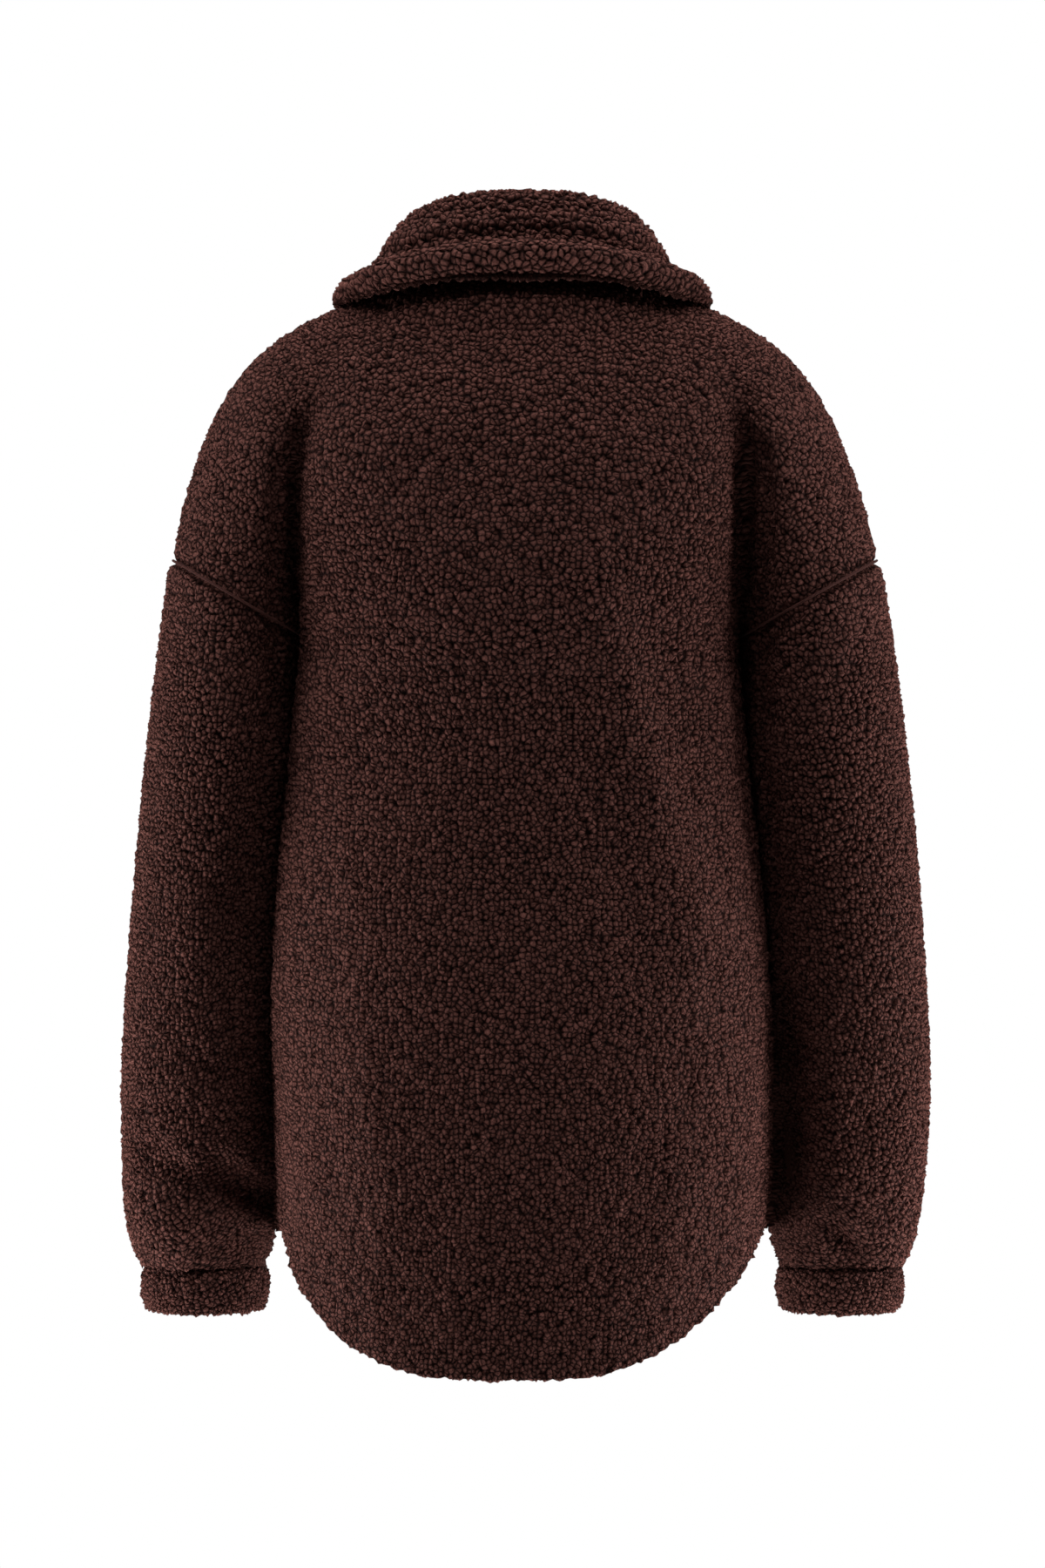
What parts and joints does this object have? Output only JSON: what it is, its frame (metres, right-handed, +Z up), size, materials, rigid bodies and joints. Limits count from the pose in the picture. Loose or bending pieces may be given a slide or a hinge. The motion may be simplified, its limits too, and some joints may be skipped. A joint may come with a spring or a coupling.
{
  "type": "teddy jacket",
  "caption": "Hip-length shirt jacket in curly pile fleece, filled out as worn: turned-down collar, dropped shoulders, cuffed sleeves, button front and curved shirt-tail hem.",
  "frame": {"origin": "midway between the two high shoulder points, where collar and shoulder seams meet", "axes": "+Z up, -Y out of the front of the garment, +Y out of its back, +X towards the wearer's left"},
  "size_m": [0.5602, 0.2973, 0.7907],
  "materials": {
    "fleece": "very dark brown curly pile fleece, matte, with a smooth knit reverse",
    "buttons": "dark brown turned resin, satin"
  },
  "bodies": {
    "root": {"back": "fleece", "front_left": "fleece", "front_right": "fleece", "placket_top": "fleece", "placket_under": "fleece", "sleeve_left": "fleece", "sleeve_right": "fleece", "collar": "fleece", "cuff_left": "fleece", "cuff_right": "fleece", "button_1": "buttons", "button_2": "buttons", "button_3": "buttons", "button_4": "buttons", "button_5": "buttons", "button_6": "buttons"}
  },
  "joints": []
}
